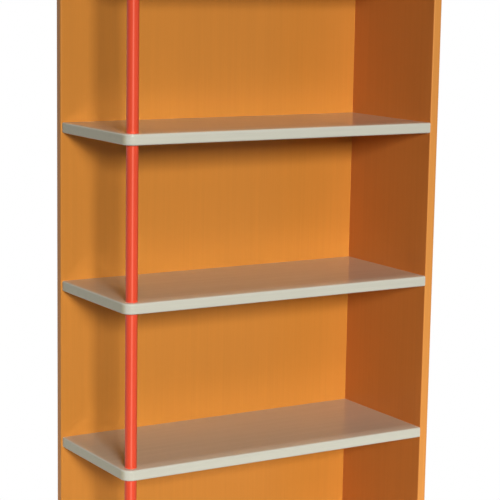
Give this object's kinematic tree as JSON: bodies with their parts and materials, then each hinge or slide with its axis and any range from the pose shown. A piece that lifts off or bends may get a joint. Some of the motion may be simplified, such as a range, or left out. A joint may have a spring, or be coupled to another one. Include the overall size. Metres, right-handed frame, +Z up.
{
  "type": "wall shelf",
  "caption": "Tall open wall shelf: back panel, one side panel and flat boards with rounded corners, tied together by a slim round pole at the open front corner.",
  "frame": {"origin": "middle of the base, where the shelf's box meets the floor", "axes": "+X towards the side panel, +Y towards the wall, +Z up"},
  "size_m": [0.68, 0.282, 1.234],
  "materials": {
    "ochre_lacquer": "satin lacquer with faint vertical grain",
    "greige_lacquer": "satin lacquer with faint lengthwise grain",
    "red_lacquered_steel": "smooth satin powder coat",
    "zinc_steel": "zinc-plated steel",
    "zinc_casting": "dull zinc die casting",
    "greige_plastic": "fine matt moulded plastic",
    "beech": "raw beech"
  },
  "bodies": {
    "root": {"back_panel": "ochre_lacquer", "side_panel": "ochre_lacquer", "bottom_board": "greige_lacquer", "lower_shelf": "greige_lacquer", "middle_shelf": "greige_lacquer", "upper_shelf": "greige_lacquer", "top_board": "greige_lacquer", "pole_section_1": "red_lacquered_steel", "pole_section_2": "red_lacquered_steel", "pole_section_3": "red_lacquered_steel", "pole_section_4": "red_lacquered_steel", "pole_bushes": "zinc_steel", "pole_studs": "zinc_steel", "pole_end_bolts": "zinc_steel", "board_cam_bolts": "zinc_steel", "board_back_screws": "zinc_steel", "back_cam_bolts": "zinc_steel", "hanger_plates": "zinc_steel", "hanger_screws": "zinc_steel", "board_cams": "zinc_casting", "back_cams": "zinc_casting", "board_cam_caps": "greige_plastic", "board_side_dowels": "beech", "board_back_dowels": "beech", "back_edge_dowels": "beech"}
  },
  "joints": []
}
